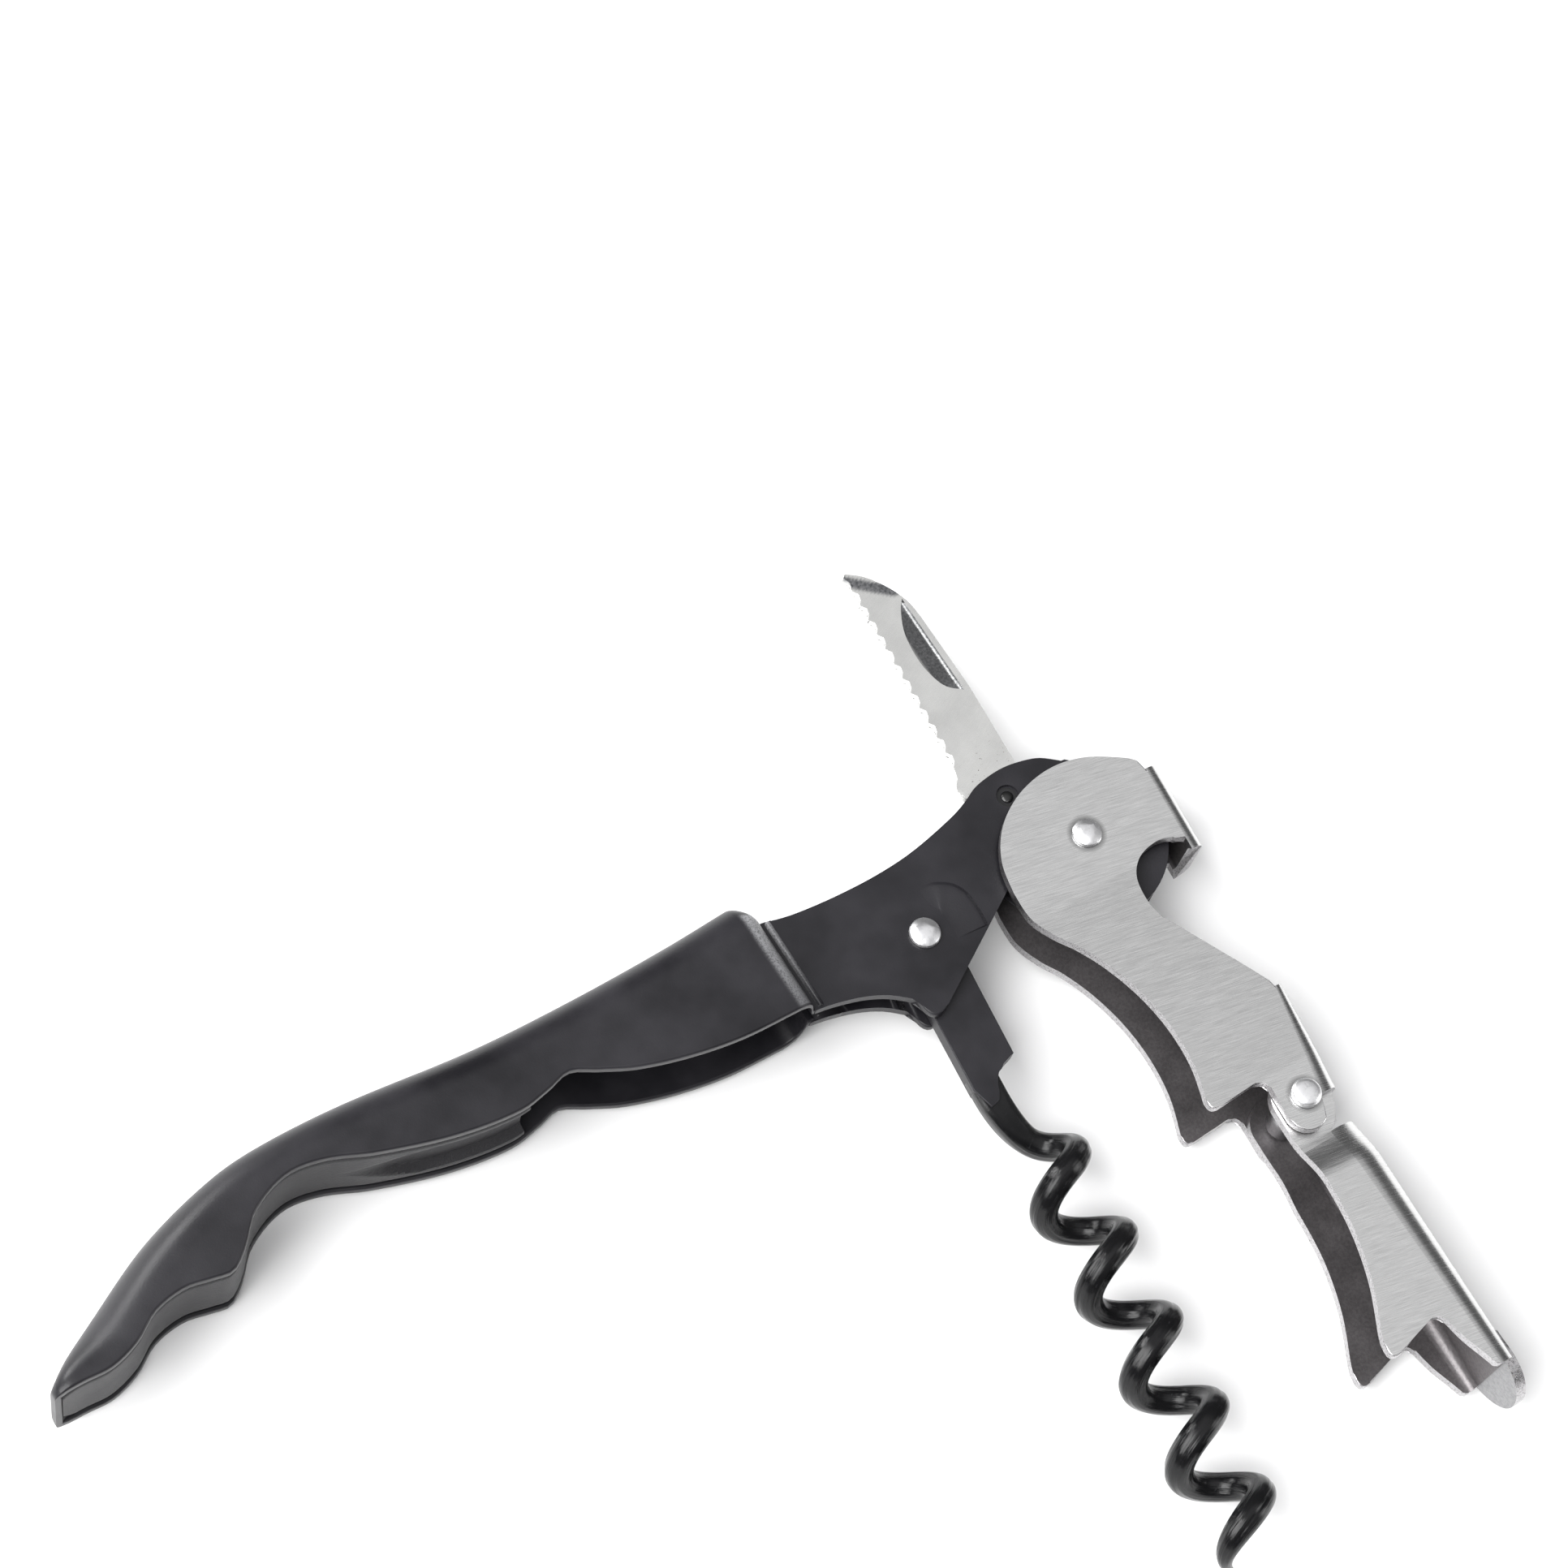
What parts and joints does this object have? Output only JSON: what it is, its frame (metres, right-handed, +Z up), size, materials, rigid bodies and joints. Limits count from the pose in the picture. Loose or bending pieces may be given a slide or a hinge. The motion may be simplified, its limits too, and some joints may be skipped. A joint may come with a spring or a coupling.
{
  "type": "lever corkscrew",
  "caption": "Waiter's corkscrew, open and lying on its side: black grip, coiled worm, serrated foil blade and a jointed two-step steel lever with a bottle-cap notch.",
  "frame": {"origin": "middle of the underside of the bounding box, with the open corkscrew lying on its side", "axes": "+X from the tail of the grip towards the head; +Y from the levers towards the back of the grip and the open blade; +Z up, along every hinge axis"},
  "size_m": [0.118, 0.0996, 0.0127],
  "materials": {
    "satin_black_coating": "satin near-black coating with a fine grain",
    "black_infill": "fine grained black",
    "brushed_stainless": "brushed across the length, bright bend edges",
    "gloss_black_coating": "glossy black non-stick coating, fluted",
    "blade_steel": "pale polished steel with a ground bevel",
    "rivet_steel": "bright domed rivet heads",
    "spring_steel": "dark spring steel"
  },
  "bodies": {
    "handle": {"handle_body": "satin_black_coating", "grip_infill": "black_infill", "back_spring": "spring_steel", "main_pivot_rivet": "rivet_steel", "main_pivot_spacer": "rivet_steel", "main_pivot_washer_left": "rivet_steel", "main_pivot_washer_right": "rivet_steel", "worm_pivot_rivet": "rivet_steel", "blade_pivot_pin": "spring_steel"},
    "main_lever": {"main_lever": "brushed_stainless", "lever_joint_rivet": "rivet_steel"},
    "second_lever": {"second_lever": "brushed_stainless", "lever_joint_spacer": "spring_steel"},
    "worm": {"worm": "gloss_black_coating"},
    "foil_blade": {"blade_washer_left": "rivet_steel", "blade_washer_right": "rivet_steel", "foil_blade": "blade_steel"}
  },
  "joints": [
    {"name": "main_lever_hinge", "type": "hinge", "parent": "handle", "child": "main_lever", "pos_m": [0.04877, 0.0149, 0.00635], "axis": [0, 0, 1], "range_deg": [-84.8, 45]},
    {"name": "second_lever_hinge", "type": "hinge", "parent": "main_lever", "child": "second_lever", "pos_m": [0.05108, -0.0168, 0.00635], "axis": [0, 0, 1], "range_deg": [-5, 16]},
    {"name": "worm_hinge", "type": "hinge", "parent": "handle", "child": "worm", "pos_m": [0.03033, 0.01445, 0.00635], "axis": [0, 0, 1], "range_deg": [-84.2, 44.8]},
    {"name": "foil_blade_hinge", "type": "hinge", "parent": "handle", "child": "foil_blade", "pos_m": [0.04503, 0.0222, 0.00635], "axis": [0, 0, 1], "range_deg": [-40, 90.5]}
  ],
  "couplings": [
    {"joint": "worm_hinge", "follows": "main_lever_hinge", "ratio": 0.99}
  ]
}
